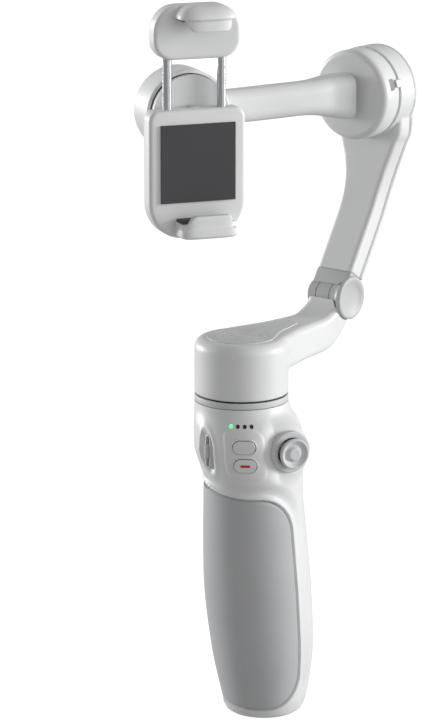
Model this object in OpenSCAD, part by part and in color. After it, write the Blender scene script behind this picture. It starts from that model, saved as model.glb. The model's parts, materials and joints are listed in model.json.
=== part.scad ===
// Hand-held three-axis gimbal stabilizer: a handle with an extension rod, a pan motor, a folding arm,
// a tilt motor, a cross arm, a roll motor and a sprung phone clamp.
// Millimetres, +Z up. The origin is the mouth of the tripod thread, at the centre of the handle's foot.
// The clamp faces -Y. Azimuths turn from +X towards +Y.

/* [Handle] */
// Height of the handle from its foot to the rod collar
handle_h = 123; // [123:0.5:126]
// How far the pan axis lies from the centre of the foot, because the handle leans forward
pan_shift = 12.5; // [11:0.5:13]
// Direction in which the handle leans, seen from above
lean_azimuth = -65; // [-80:1:-50]
// Wall of the handle shell
shell_wall = 2.4; // [2:0.2:2.6]
// Depth of the pocket that holds the soft grip
grip_depth = 1.2; // [0.8:0.1:1.4]
// How far the soft grip stands proud of the shell
grip_rise = 0.35; // [0.2:0.05:0.5]
// Height of the soft grip's lower edge
grip_low = 3.5; // [3:0.5:8]
// Height of the soft grip's upper edge at the front
grip_high = 88.5; // [80:0.5:90]
// Azimuth of the soft grip's front edge
grip_edge_azimuth = -63; // [-75:1:-50]

/* [Extension rod] */
// Outer radius of the thickest moving section
rod_r = 6; // [5.5:0.1:6.2]
// Wall of a rod section
rod_wall = 0.92; // [0.8:0.02:1]
// Running clearance between rod sections
rod_gap = 0.08; // [0.05:0.01:0.1]
// Height of the rod's lower end when it is closed
rod_foot = 34; // [32:0.5:40]

/* [Motors] */
// Radius of the motor housings
motor_r = 18.3; // [18:0.1:19]
// Thickness of the rod collar under the pan motor
collar_h = 2.4; // [2:0.1:3]
// Dark gap between a motor's two halves
motor_gap = 0.6; // [0.4:0.1:0.8]
// Height of the pan motor's housing
pan_h = 21.8; // [20:0.2:24]
// Height of the tilt axis above the foot
tilt_z = 233.3; // [230:0.1:236]
// Height of the roll axis above the foot
roll_z = 233.3; // [232:0.1:240]
// Radius of the roll motor's housing
roll_r = 17; // [16.5:0.1:18]

/* [Arm] */
// Azimuth of the plane that the arm lies in
arm_azimuth = 31; // [28:1:36]
// Width of the arm
arm_w = 17; // [15:0.5:18]
// Lean of the arm at the fold hinge, from the vertical
arm_lean = 31.5; // [29:0.5:33]
// Thickness of the arm
arm_t = 9.8; // [9:0.1:10]
// Distance of the fold hinge from the pan axis
hinge_x = 58.5; // [57:0.1:60]
// Height of the fold hinge
hinge_z = 154; // [153:0.1:156]
// Radius of the hinge barrel
barrel_r = 5.6; // [5.2:0.1:5.8]
// Radius of the hinge's end cap
hinge_cap_r = 8.6; // [8:0.1:9]
// Inner radius of the upper arm's bend
bend_r = 74; // [70:1:78]
// Thickness of the upper arm's outer cover
cover_t = 2.2; // [1.8:0.1:2.6]
// Height of the grey foot at the hinge, along the upper arm
foot_h = 9.2; // [9.1:0.1:10]
// Length of the upper arm's straight stretch, from the hinge to its bend
straight = 29.6; // [27:0.2:32]

/* [Clamp] */
// Distance between the jaw pads, at the width of a large phone
phone_w = 76.3; // [70:0.1:84]
// Depth of the space between lip and back plate
phone_t = 8; // [7.5:0.1:10]
// Width of the clamp body
clamp_w = 39; // [36:1:42]
// Depth of the clamp body
clamp_d = 8; // [7:0.5:9]
// How far the clamp's centre lies to the side of the pan axis
clamp_x = -16; // [-20:0.5:-12]
// Width of a jaw's lip
lip_w = 20.3; // [18:0.1:24]
// Lowest point of the upper jaw's lip, from the phone's upper edge
lip_tip = -3.9; // [-5:0.1:-2]
// Width of the upper jaw's head
head_w = 35; // [32:0.5:38]
// How far a jaw's shelf lies to the side of the clamp's centre
jaw_shift = 1.6; // [0:0.1:2]

/* [Controls] */
// Height of the joystick's centre
stick_z = 106.8; // [104:0.1:108]
// Place of the joystick round the handle, from the front
stick_angle = 26; // [22:1:30]
// Direction that the joystick faces, from the front
stick_face = 6; // [0:1:26]
// How far the joystick's collar stands out of the skin at its centre
stick_out = 1; // [0.5:0.1:2]
// Depth of the joystick's pivot under its collar
pivot_depth = 8; // [7.5:0.1:8.5]
// Radius of the joystick's cap
stick_r = 6.2; // [5.5:0.1:7]
// Gap around each moving control
control_gap = 0.35; // [0.3:0.05:0.5]
// Width of the mode and record buttons
button_w = 8.6; // [8:0.1:9]
// Height of the mode and record buttons
button_h = 5; // [4.5:0.1:5.4]
// Place of both buttons round the handle, from the front
button_angle = -25; // [-30:1:-18]
// Height of the mode button
mode_z = 110; // [108:0.1:111]
// Height of the record button
record_z = 102.8; // [100:0.1:104]
// Height of the row of lights
led_z = 117.3; // [116:0.1:118]
// Place of the zoom slider round the handle
zoom_angle = -71; // [-80:1:-60]
// Height of the zoom slider
zoom_z = 106.2; // [104:0.1:108]
// Place of the trigger round the handle
trigger_angle = 155; // [145:1:165]
// Height of the trigger
trigger_z = 97; // [95:0.5:100]
// Place of the power button and the socket round the handle
side_angle = 98; // [90:1:105]
// Height of the power button
power_z = 104; // [102:0.5:106]
// Height of the charging socket
usb_z = 88; // [86:0.5:90]

/* [Hidden] */

$fn = 64;
FINE = 0.01;
LOFT_SIDES = 36;
LOFT_STEPS = 2;

pan_pos = [-pan_shift * cos(lean_azimuth), -pan_shift * sin(lean_azimuth), 0];
collar_z = handle_h + 0.2;
pan_z = collar_z + collar_h + motor_gap;
pan_top = pan_z + pan_h;

// Handle sections from the foot up: height, shift of the centre from the pan axis, radius
HANDLE = [[0, pan_shift, 13.6], [1.2, pan_shift + 0.1, 15.1], [4, pan_shift + 0.4, 16.1],
          [10, pan_shift + 0.4, 17.4], [25, 11.9, 19.8], [48, 9.4, 20.9], [70, 7.7, 20.2],
          [85.5, 6.7, 19.4], [94.5, 6.4, 19.6], [104, 4.3, 21.2], [109.5, 4, 21.3],
          [115.2, 2.6, 20.4], [119.6, 0.8, 18.85], [handle_h, 0, motor_r]];

// Catmull-Rom point between b and c
function curve(a, b, c, d, t) =
    b + t / 2 * (c - a + t * (2 * a - 5 * b + 4 * c - d + t * (3 * (b - c) + d - a)));
function clampi(i, n) = max(0, min(n - 1, i));
function smooth(list, steps) = concat(
    [for (i = [0:len(list) - 2], k = [0:steps - 1])
        curve(list[clampi(i - 1, len(list))], list[i], list[i + 1],
              list[clampi(i + 2, len(list))], k / steps)],
    [list[len(list) - 1]]);

RINGS = smooth(HANDLE, LOFT_STEPS);

// Section of the handle at height z: shift and radius
function ring_at(z) = [for (i = [0:len(RINGS) - 2])
    if (RINGS[i][0] <= z && z < RINGS[i + 1][0])
        let (t = (z - RINGS[i][0]) / (RINGS[i + 1][0] - RINGS[i][0]))
            RINGS[i] + t * (RINGS[i + 1] - RINGS[i])][0];

// Directions along and across the arm's side view
lean_u = [sin(arm_lean), cos(arm_lean)];
lean_v = [cos(arm_lean), -sin(arm_lean)];
hinge = [hinge_x, hinge_z];
bend_c = hinge - (arm_t / 2 + bend_r) * lean_v + straight * lean_u;
arm_in = bend_c[0] + bend_r;
seam_x = arm_in - 2;
knuckle_gap = 0.25;
// Across the arm: ends of the upper arm's barrel
barrel_low = -arm_w / 2 + 4;
barrel_high = arm_w / 2 - 6.5;

// Motor core sizes
shaft_r = 4;
bearing_r = 7.5;
stator_r = 13;
magnet_in = 13.4;
magnet_out = 15.4;
core_h = 7;

core_z = collar_z + collar_h + 1.4;
tilt_core = seam_x + 0.7;
// Direction of the storage stop round the tilt motor
stop_angle = -107;
pin_r = 2;

// Clamp: half the space between the jaws, face of its back plate, thickness of a lip
jaw_z = phone_w / 2;
back_y = 5;
lip_t = 3.6;
body_low = -jaw_z - 8;
body_high = 4;
roll_front = back_y + clamp_d + 2.6;
roll_depth = 17;

// Clamp rods: place, radius and the springs around them
rod_x = 11;
rod_y = back_y + 4;
clamp_rod_r = 1.8;
spring_r = 3.1;

// Lights, from the lit one
led_angles = [-36, -28.2, -20.5, -12.8];
led_r = 0.7;
// Distance of the battery cell's axis from the pan axis
cell_shift = 16.2;

// ---------- Places ----------

module at_pan() {
    translate(pan_pos) children();
}

module at_arm() {
    at_pan() rotate([0, 0, arm_azimuth]) children();
}

// Draws a side view (distance from the pan axis, height) as a slab from y = a to y = b
module slab(a, b) {
    translate([0, b, 0]) rotate([90, 0, 0]) linear_extrude(b - a) children();
}

// Along the fold hinge's axis: local z runs along the hinge, towards the operator
module at_hinge() {
    at_arm() translate([hinge_x, 0, hinge_z]) rotate([90, 0, 0]) children();
}

// Along the tilt axis: local z runs from the pan axis outward, from distance x
module at_tilt(x) {
    at_arm() translate([x, 0, tilt_z]) rotate([0, 90, 0]) children();
}

// Along the roll axis: local z runs backwards from depth y
module at_roll(y) {
    at_pan() translate([clamp_x, y, roll_z]) rotate([-90, 0, 0]) children();
}

module at_clamp() {
    at_pan() translate([clamp_x, 0, roll_z]) children();
}

// On the handle's skin: outward is -Y, right is +X, turned by angle from the front
module on_skin(angle, z) {
    at = ring_at(z);
    at_pan() translate([at[1] * cos(lean_azimuth), at[1] * sin(lean_azimuth), z])
        rotate([0, 0, angle]) translate([0, -at[2], 0]) children();
}

// At the joystick's collar, whose face is turned from the skin towards the front
module at_stick() {
    at = ring_at(stick_z);
    at_pan() translate([at[1] * cos(lean_azimuth) + at[2] * sin(stick_angle),
                        at[1] * sin(lean_azimuth) - at[2] * cos(stick_angle), stick_z])
        rotate([0, 0, stick_face]) translate([0, -stick_out, 0]) children();
}

// ---------- Shapes ----------

// The handle's outer form, grown by d
module handle_form(d) {
    n = LOFT_SIDES;
    rings = [for (s = RINGS) [for (k = [0:n - 1])
        [s[1] * cos(lean_azimuth) + (s[2] + d) * cos(360 * k / n),
         s[1] * sin(lean_azimuth) + (s[2] + d) * sin(360 * k / n),
         s[0] == 0 ? -max(d, 0) : s[0]]]];
    m = len(rings);
    at_pan() polyhedron(
        points = [for (r = rings, p = r) p],
        faces = concat(
            [[for (k = [0:n - 1]) k]],
            [for (i = [0:m - 2], k = [0:n - 1])
                [i * n + k, (i + 1) * n + k, (i + 1) * n + (k + 1) % n, i * n + (k + 1) % n]],
            [[for (k = [n - 1:-1:0]) (m - 1) * n + k]]));
}

// Round-cornered rectangle, centred
module rounded(w, h, r) {
    square([w - 2 * r, h], center = true);
    square([w, h - 2 * r], center = true);
    for (x = [-1, 1], y = [-1, 1]) translate([x * (w / 2 - r), y * (h / 2 - r)]) circle(r);
}

// Pill-shaped prism whose face is seen along -Y, from depth a to depth b
module pill(w, h, a, b) {
    translate([0, b, 0]) rotate([90, 0, 0]) linear_extrude(b - a) rounded(w, h, min(w, h) / 2 - FINE);
}

// Prism over the part of the handle that the soft grip covers
module grip_region(d) {
    corner = 9;
    at_pan() translate([0.55 * pan_shift * cos(lean_azimuth), 0.55 * pan_shift * sin(lean_azimuth), 0])
        rotate([0, 0, grip_edge_azimuth + 90]) translate([0, 45, 0]) rotate([90, 0, 0])
            linear_extrude(90) {
                translate([-40, grip_low - d]) square([40 - corner + d, grip_high - grip_low + 2 * d]);
                translate([-40, grip_low + corner - d])
                    square([40 + d, grip_high - grip_low - 2 * corner + 2 * d]);
                for (z = [grip_low + corner, grip_high - corner])
                    translate([-corner, z]) circle(corner + d);
            }
}

module tube(r_out, r_in, h) {
    difference() {
        cylinder(r = r_out, h = h);
        translate([0, 0, -1]) cylinder(r = r_in, h = h + 2);
    }
}

// Wound stator core: a ring with open slots between its teeth
module stator_core() {
    difference() {
        tube(stator_r, bearing_r + 0.05, core_h);
        for (a = [0:40:320]) rotate([0, 0, a]) translate([9.2, -1, -1]) cube([6, 2, core_h + 2]);
    }
}

module motor_bearing() {
    tube(bearing_r, shaft_r + 0.05, core_h);
}

module magnet_ring(h) {
    tube(magnet_out, magnet_in, h);
}

// ---------- Handle ----------

module handle_shell() {
    color("whitesmoke") difference() {
        handle_form(0);
        handle_form(-shell_wall);
        at_pan() translate([0, 0, handle_h - 4.2]) cylinder(r = motor_r - shell_wall, h = 6.2);
        translate([0, 0, -1]) cylinder(r = 10.8, h = 8);
        difference() {
            grip_region(0);
            handle_form(-grip_depth);
        }
        for (z = [record_z, mode_z])
            on_skin(button_angle, z)
                pill(button_w + 2 * control_gap, button_h + 2 * control_gap, -5, 6);
        at_stick() rotate([90, 0, 0]) {
            translate([0, 0, -11]) cylinder(r = 7.2, h = 20);
            translate([0, 0, -0.15]) cylinder(r = 8.4, h = 9);
        }
        on_skin(zoom_angle, zoom_z) pill(6.4, 16.4, -5, 6);
        for (a = led_angles) on_skin(a, led_z) rotate([90, 0, 0]) translate([0, 0, -6])
            cylinder(r = led_r, h = 12);
        on_skin(trigger_angle, trigger_z) pill(10 + 2 * control_gap, 19.6, -5, 6);
        on_skin(side_angle, power_z) rotate([90, 0, 0]) translate([0, 0, -6])
            cylinder(r = 3.4 + control_gap, h = 12);
        on_skin(side_angle, usb_z) pill(3.6, 9.4, -5, 8);
    }
}

module grip_panel() {
    color("darkgray") difference() {
        intersection() {
            grip_region(0);
            handle_form(grip_rise);
        }
        handle_form(-grip_depth);
    }
}

module base_cap() {
    color("lightgray") difference() {
        union() {
            cylinder(r = 10.7, h = 6.9);
            translate([0, 0, 6.9]) cylinder(r = 9, h = 3);
        }
        translate([0, 0, -1]) cylinder(r = 5.2, h = 12);
        for (a = [45, 225]) rotate([0, 0, a]) translate([7.8, 0, -1]) cylinder(r = 1.2, h = 1.6);
    }
}

module thread_insert() {
    color("goldenrod") tube(5.2, 3.175, 9.5);
}

module neck_plate() {
    color("dimgray") at_pan() translate([0, 0, handle_h - 4]) difference() {
        tube(motor_r - shell_wall - 0.2, 7.05, 3.6);
        for (a = [0:120:240]) rotate([0, 0, a]) translate([11.5, 0, -1]) cylinder(r = 1.1, h = 6);
    }
}

// ---------- Controls ----------

module control_panel() {
    color("white") difference() {
        intersection() {
            handle_form(0.4);
            on_skin(button_angle, (mode_z + record_z) / 2) translate([0, 6, 0]) rotate([90, 0, 0])
                linear_extrude(14) rounded(13, 17, 3);
        }
        handle_form(0);
        for (z = [record_z, mode_z])
            on_skin(button_angle, z)
                pill(button_w + 2 * control_gap, button_h + 2 * control_gap, -5, 6);
    }
}

module led(angle) {
    on_skin(angle, led_z) rotate([90, 0, 0]) translate([0, 0, -1.6]) cylinder(r = led_r, h = 1.6);
}

module led_lit() {
    color("lime") led(led_angles[0]);
}

module leds_unlit() {
    color("dimgray") for (i = [1:3]) led(led_angles[i]);
}

module push_button() {
    pill(button_w, button_h, -1.1, 2);
    pill(button_w - 2, button_h - 2, 1.5, 3.8);
    pill(button_w + 2, button_h + 1.6, 3.7, 4.4);
}

module mode_button() {
    color("white") on_skin(button_angle, mode_z) push_button();
}

module record_button() {
    color("white") on_skin(button_angle, record_z) push_button();
}

module record_mark() {
    color("red") on_skin(button_angle, record_z) pill(3.6, 1, -1.25, -1.1);
}

module joystick_collar() {
    color("gainsboro") at_stick() rotate([90, 0, 0]) difference() {
        union() {
            translate([0, 0, -9.6]) cylinder(r = 7, h = 10);
            cylinder(r1 = 8.2, r2 = 7.8, h = 0.9);
        }
        translate([0, 0, -10]) cylinder(r = 5.6, h = 12);
        translate([0, 0, -pivot_depth]) rotate([0, 90, 0]) cylinder(r = 0.65, h = 20, center = true);
    }
}

module joystick_yoke() {
    color("dimgray") at_stick() translate([0, pivot_depth, 0]) rotate([90, 0, 0]) {
        difference() {
            translate([0, 0, -1]) tube(5.3, 4.1, 2);
            rotate([90, 0, 0]) cylinder(r = 0.65, h = 20, center = true);
        }
        for (x = [-1, 1]) translate([x * 5.8, 0, 0]) rotate([0, 90, 0])
            cylinder(r = 0.6, h = 2, center = true);
    }
}

module joystick_cap() {
    color("silver") at_stick() translate([0, pivot_depth, 0]) rotate([90, 0, 0]) {
        difference() {
            union() {
                sphere(3);
                cylinder(r = 1.8, h = pivot_depth + 3.4);
                translate([0, 0, pivot_depth + 2.3]) cylinder(r1 = stick_r - 0.5, r2 = stick_r, h = 0.8);
                translate([0, 0, pivot_depth + 3.1]) cylinder(r1 = stick_r, r2 = stick_r - 0.5, h = 1.1);
            }
            translate([0, 0, pivot_depth + 3.6]) tube(4.6, 1.9, 2);
        }
        rotate([90, 0, 0]) cylinder(r = 0.6, h = 9.8, center = true);
    }
}

module zoom_bezel() {
    color("gainsboro") on_skin(zoom_angle, zoom_z) difference() {
        pill(6.2, 16.2, -0.5, 2.4);
        pill(4.4, 14.4, -2, 1.2);
        pill(2.4, 12.4, -2, 4);
    }
}

module zoom_slider() {
    color("silver") on_skin(zoom_angle, zoom_z) {
        pill(3.6, 8.6, -1.3, 0.8);
        translate([0, 0.7, 0]) pill(1.6, 5, 0, 3.4);
    }
}

module trigger() {
    color("gainsboro") on_skin(trigger_angle, trigger_z) difference() {
        union() {
            pill(10, 18.4, -2.2, 3);
            translate([0, 3.5, 7]) rotate([0, 90, 0]) cylinder(r = 2, h = 7, center = true);
        }
        translate([0, 3.5, 7]) rotate([0, 90, 0]) cylinder(r = 1.05, h = 20, center = true);
    }
}

module trigger_pin() {
    color("silver") on_skin(trigger_angle, trigger_z) translate([0, 3.5, 7]) rotate([0, 90, 0])
        cylinder(r = 1, h = 13, center = true);
}

module power_button() {
    color("gainsboro") on_skin(side_angle, power_z) rotate([90, 0, 0]) {
        translate([0, 0, -2.2]) cylinder(r = 3.4, h = 3.1);
        translate([0, 0, -3.6]) cylinder(r = 2, h = 1.5);
    }
}

module usb_socket() {
    color("darkslategray") on_skin(side_angle, usb_z) difference() {
        pill(3.5, 9.3, 0.3, 7.5);
        pill(2.7, 8.5, -1, 6.5);
    }
}

// ---------- Inside the handle ----------

module battery_cell() {
    color("steelblue") at_pan()
        translate([cell_shift * cos(lean_azimuth), cell_shift * sin(lean_azimuth), 17])
            cylinder(r = 8.5, h = 50);
}

module main_board() {
    color("seagreen") at_pan() rotate([0, 0, lean_azimuth]) translate([9, -11, 76]) difference() {
        cube([1.2, 22, 20]);
        for (y = [2.5, 19.5]) translate([-1, y, 17.5]) rotate([0, 90, 0]) cylinder(r = 0.9, h = 4);
    }
}

module button_switches() {
    color("dimgray") for (z = [record_z, mode_z]) on_skin(button_angle, z)
        translate([-2, 5.1, -2]) cube([4, 1.6, 4]);
}

module rod_guide_tube() {
    color("gray") at_pan() translate([0, 0, rod_foot - 1.5])
        tube(7, rod_r + rod_gap, handle_h - rod_foot + 0.9);
}

// ---------- Extension rod ----------

// Section i counts from 0, the thickest
module rod_section(i) {
    r = rod_r - i * (rod_wall + rod_gap);
    foot = rod_foot + 0.2 * i;
    top = i < 2 ? handle_h - 0.6 + 0.2 * i : collar_z;
    at_pan() translate([0, 0, foot]) tube(r, r - rod_wall, top - foot);
}

module rod_section_1() {
    color("silver") rod_section(0);
}

module rod_section_2() {
    color("silver") rod_section(1);
}

module rod_section_3() {
    color("silver") rod_section(2);
}

// ---------- Pan motor ----------

module pan_collar() {
    color("darkgray") at_pan() {
        translate([0, 0, collar_z]) rotate_extrude() polygon([[0, 0], [motor_r - 0.3, 0],
            [motor_r, 0.3], [motor_r, collar_h - 0.3], [motor_r - 0.3, collar_h], [10, collar_h],
            [10, collar_h + 1.4], [0, collar_h + 1.4]]);
        translate([0, 0, collar_z - 6]) cylinder(r = rod_r - 3 * rod_wall - 2 * rod_gap - 0.05, h = 7);
    }
}

module pan_stator() {
    color("peru") at_pan() translate([0, 0, core_z]) stator_core();
}

module pan_bearing() {
    color("silver") at_pan() translate([0, 0, core_z]) motor_bearing();
}

module pan_magnets() {
    color("dimgray") at_pan() translate([0, 0, core_z]) magnet_ring(core_h + 1.7);
}

module pan_shaft() {
    color("silver") at_pan() translate([0, 0, core_z + 0.4]) cylinder(r = shaft_r, h = 13);
}

// Side view of the lower arm, from the pan motor to the barrel
module lower_arm_side() {
    back = hinge - 9.3 * lean_u + arm_t / 2 * lean_v;
    nose = hinge - 5.4 * lean_u + 2.5 * lean_v;
    inner = hinge - 3.5 * lean_u - arm_t / 2 * lean_v;
    inner_low = hinge - 5.8 * lean_u - arm_t / 2 * lean_v;
    polygon([[6, pan_top - 13.2], [43, pan_top - 13.2], [47, pan_top - 12.8],
             [50.3, pan_top - 11.7], [52.8, pan_top - 9.9], back, nose, hinge, inner, inner_low,
             inner_low + [-1.7, -2.2], inner_low + [-4.2, -3.9], inner_low + [-7.6, -4.4],
             [6, pan_top - 0.2]]);
}

module pan_housing() {
    round_r = 3.6;
    color("whitesmoke") difference() {
        union() {
            at_pan() translate([0, 0, pan_z]) rotate_extrude() union() {
                square([motor_r, pan_h - round_r]);
                square([motor_r - round_r, pan_h]);
                translate([motor_r - round_r, pan_h - round_r]) circle(round_r);
            }
            at_arm() slab(-arm_w / 2, arm_w / 2) lower_arm_side();
            // the teardrop web that widens the arm into the housing
            at_arm() translate([0, 0, pan_top - 13.2]) linear_extrude(13)
                polygon([[8, -16.2], [20, -11.6], [31, -arm_w / 2], [31, arm_w / 2], [20, 11.6],
                         [8, 16.2]]);
        }
        at_pan() translate([0, 0, pan_z - 1]) cylinder(r = magnet_out, h = core_z + core_h + 2.7 - pan_z);
        at_pan() translate([0, 0, pan_z]) cylinder(r = shaft_r, h = core_z + 13.4 - pan_z);
        at_hinge() {
            translate([0, 0, -arm_w]) cylinder(r = barrel_r, h = 2 * arm_w);
            translate([0, 0, barrel_low - knuckle_gap])
                cylinder(r = barrel_r + 0.35, h = barrel_high - barrel_low + 2 * knuckle_gap);
            translate([0, 0, arm_w / 2 - 2.7]) cylinder(r = hinge_cap_r, h = 8);
        }
    }
}

module pan_inlay() {
    color("silver") at_arm() translate([0, 0, pan_top]) difference() {
        linear_extrude(0.4) union() {
            circle(13.2);
            polygon([[2, -12.9], [14, -8.4], [27, -3.2], [30, 0], [27, 3.2], [14, 8.4], [2, 12.9]]);
        }
        for (r = [4.2, 8.4]) translate([0, 0, 0.2]) tube(r + 0.25, r - 0.25, 1);
    }
}

// ---------- Fold hinge ----------

// Fixed knuckle at the far side of the arm
module hinge_knuckle() {
    color("darkgray") at_hinge() translate([0, 0, -arm_w / 2])
        tube(barrel_r, pin_r, barrel_low + arm_w / 2 - knuckle_gap);
}

// Fixed knuckle on the operator's side, flared into the end cap
module hinge_cap() {
    color("darkgray") at_hinge() difference() {
        union() {
            translate([0, 0, barrel_high + knuckle_gap])
                cylinder(r = barrel_r, h = arm_w / 2 - 2.6 - barrel_high);
            translate([0, 0, arm_w / 2 - 2.7]) cylinder(r1 = barrel_r, r2 = hinge_cap_r, h = 2.7);
            translate([0, 0, arm_w / 2 - 0.01]) cylinder(r1 = hinge_cap_r, r2 = hinge_cap_r - 0.4, h = 1.2);
        }
        translate([0, 0, -20]) cylinder(r = pin_r, h = 20 + arm_w / 2 - 1);
        translate([0, 0, arm_w / 2 + 0.7]) cylinder(r1 = 6.2, r2 = 6.8, h = 1);
    }
}

// Turning barrel of the upper arm
// What turns freely round the fixed knuckles at the foot of the upper arm
module hinge_room() {
    at_hinge() {
        translate([0, 0, barrel_low - 20]) cylinder(r = barrel_r + 0.4, h = 20);
        translate([0, 0, barrel_high]) cylinder(r = barrel_r + 0.4, h = 8);
        translate([0, 0, arm_w / 2 - 3]) cylinder(r = hinge_cap_r + 0.2, h = 8);
    }
}
module hinge_barrel() {
    half = arm_t / 2;
    color("darkgray") difference() {
        union() {
            at_hinge() translate([0, 0, barrel_low]) cylinder(r = barrel_r, h = barrel_high - barrel_low);
            difference() {
                at_arm() slab(-arm_w / 2, arm_w / 2)
                    polygon([hinge - half * lean_v, hinge + foot_h * lean_u - half * lean_v,
                             hinge + foot_h * lean_u + half * lean_v,
                             hinge + 9 * lean_u + half * lean_v, hinge + 5.4 * lean_u + 2.5 * lean_v,
                             hinge]);
                hinge_room();
            }
        }
        at_hinge() translate([0, 0, -arm_w]) cylinder(r = pin_r + 0.05, h = 2 * arm_w);
    }
}

module hinge_pin() {
    color("silver") at_hinge() translate([0, 0, -arm_w / 2 + 0.4]) cylinder(r = pin_r, h = arm_w - 1.6);
}

// ---------- Upper arm ----------

// Side view of a layer of the upper arm, between two radii of its bend
module arm_layer(r_low, r_high) {
    steps = 10;
    low = r_low - bend_r - arm_t / 2;
    high = r_high - bend_r - arm_t / 2;
    polygon(concat(
        [hinge + foot_h * lean_u + low * lean_v],
        [for (k = [0:steps]) let (a = -arm_lean + arm_lean * k / steps)
            bend_c + r_low * [cos(a), sin(a)]],
        [[bend_c[0] + r_low, tilt_z + motor_r + 1], [bend_c[0] + r_high, tilt_z + motor_r + 1]],
        [for (k = [0:steps]) let (a = -arm_lean * k / steps)
            bend_c + r_high * [cos(a), sin(a)]],
        [hinge + foot_h * lean_u + high * lean_v]));
}

// Front view of the upper arm: a strip that widens into the motor's disc
module arm_face() {
    half = arm_w / 2;
    translate([0, tilt_z]) circle(motor_r);
    right = [[half, hinge_z - 6], [half, tilt_z - 44], [half + 0.8, tilt_z - 34],
             [half + 2.8, tilt_z - 25], [half + 6, tilt_z - 16.5], [motor_r - 0.8, tilt_z - 6]];
    polygon(concat(right, [for (k = [len(right) - 1:-1:0]) [-right[k][0], right[k][1]]]));
}

module arm_prism() {
    at_arm() rotate([90, 0, 90]) linear_extrude(130) arm_face();
}

module upper_arm() {
    color("whitesmoke") difference() {
        union() {
            intersection() {
                at_arm() slab(-30, 30) arm_layer(bend_r, bend_r + arm_t - cover_t);
                arm_prism();
            }
            at_tilt(seam_x) cylinder(r = motor_r, h = 4);
        }
        at_tilt(seam_x - 1) cylinder(r = magnet_out + 0.3, h = core_h + 1.7);
        cable_slot(0);
    }
}

// Channel for the arm's flat cable
module cable_slot(d) {
    at_arm() slab(-3.5 + d, 3.5 - d)
        intersection() {
            arm_layer(bend_r + arm_t - cover_t - 2 + d, bend_r + arm_t - cover_t);
            translate([hinge_x + 8, 168]) square([40, 46]);
        }
}

module arm_cable() {
    color("darkorange") cable_slot(0.4);
}

module arm_cover() {
    color("white") intersection() {
        at_arm() slab(-30, 30) arm_layer(bend_r + arm_t - cover_t, bend_r + arm_t);
        arm_prism();
    }
}

// ---------- Tilt motor ----------

module tilt_stator() {
    color("peru") at_tilt(tilt_core) stator_core();
}

module tilt_bearing() {
    color("silver") at_tilt(tilt_core) motor_bearing();
}

module tilt_magnets() {
    color("dimgray") at_tilt(seam_x - 0.4) magnet_ring(core_h);
}

module tilt_shaft() {
    color("silver") at_tilt(seam_x - 6.4) cylinder(r = shaft_r, h = core_h + 6.4);
}

module tilt_rotor() {
    color("whitesmoke") difference() {
        at_tilt(seam_x - 10) rotate_extrude() polygon([[0, 0], [motor_r - 1.9, 0], [motor_r - 0.4, 1.5],
            [motor_r - 0.4, 9.6], [0, 9.6]]);
        at_tilt(seam_x - 6.4) cylinder(r = shaft_r, h = 9);
        at_tilt(seam_x - 6) rotate([0, 0, stop_angle]) translate([motor_r - 2.6, -2, 0]) cube([4, 4, 2.6]);
    }
}

// Fixed nub that a storage lock hooks on, beside the notch in the rotor
module tilt_stop() {
    color("white") difference() {
        at_tilt(seam_x - 2.8) rotate([0, 0, stop_angle]) translate([motor_r - 0.25, -1.6, 0])
            cube([1, 3.2, 4.4]);
        at_tilt(seam_x) cylinder(r = motor_r, h = 4);
    }
}

// ---------- Cross arm and roll motor ----------

module cross_arm() {
    start = [(seam_x - 11) * cos(arm_azimuth), (seam_x - 11) * sin(arm_azimuth), tilt_z];
    knee = [38, 30, tilt_z + 1];
    end = [clamp_x + 10, roll_front + 8, roll_z];
    color("whitesmoke") difference() {
        at_pan() union() {
            hull() {
                translate(start) rotate([0, 90, arm_azimuth]) cylinder(r = 9, h = 2, center = true, $fn = 32);
                translate(knee) rotate([0, 90, 15]) cylinder(r = 6.5, h = 9, center = true, $fn = 32);
            }
            hull() {
                translate(knee) rotate([0, 90, 15]) cylinder(r = 6.5, h = 9, center = true, $fn = 32);
                translate(end) rotate([0, 90, 0]) cylinder(r = 6.5, h = 6, center = true, $fn = 32);
            }
            translate([clamp_x, roll_front, roll_z]) rotate([-90, 0, 0]) {
                cylinder(r = roll_r, h = roll_depth - 1.5);
                translate([0, 0, roll_depth - 1.5]) cylinder(r1 = roll_r, r2 = roll_r - 1.5, h = 1.5);
            }
        }
        at_roll(roll_front - 1) cylinder(r = magnet_out + 0.3, h = core_h + 2.5);
        at_roll(roll_front) translate([0, 0, roll_depth - 1]) cylinder(r = 12.6, h = 4);
    }
}

module roll_cover() {
    color("lightgray") at_roll(roll_front + roll_depth - 1) cylinder(r = 12.5, h = 1);
}

module roll_stator() {
    color("peru") at_roll(roll_front + 1.5) stator_core();
}

module roll_bearing() {
    color("silver") at_roll(roll_front + 1.5) motor_bearing();
}

module roll_magnets() {
    color("dimgray") at_roll(roll_front - 0.4) magnet_ring(core_h);
}

module roll_shaft() {
    color("silver") at_roll(back_y + 3) cylinder(r = shaft_r, h = clamp_d + 5.6);
}

// ---------- Clamp ----------

// Back plate with the motor's hub behind it and a stepped bore for each rod
module clamp_body() {
    mid = (body_low + body_high) / 2;
    color("whitesmoke") difference() {
        union() {
            at_clamp() translate([0, back_y + clamp_d, mid]) rotate([90, 0, 0]) linear_extrude(clamp_d)
                difference() {
                    rounded(clamp_w, body_high - body_low, 11);
                    translate([-20, body_high - mid - 0.6]) square([40, 2]);
                }
            at_roll(back_y + clamp_d - FINE) cylinder(r = magnet_out, h = 2.2);
        }
        at_roll(back_y + 3) cylinder(r = shaft_r, h = clamp_d + 5.6);
        at_clamp() for (x = [-rod_x, rod_x]) translate([x, rod_y, 0]) {
            translate([0, 0, -42]) cylinder(r = spring_r + 0.35, h = 42.5);
            translate([0, 0, -1]) cylinder(r = clamp_rod_r + 0.06, h = 6);
        }
    }
}

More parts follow.
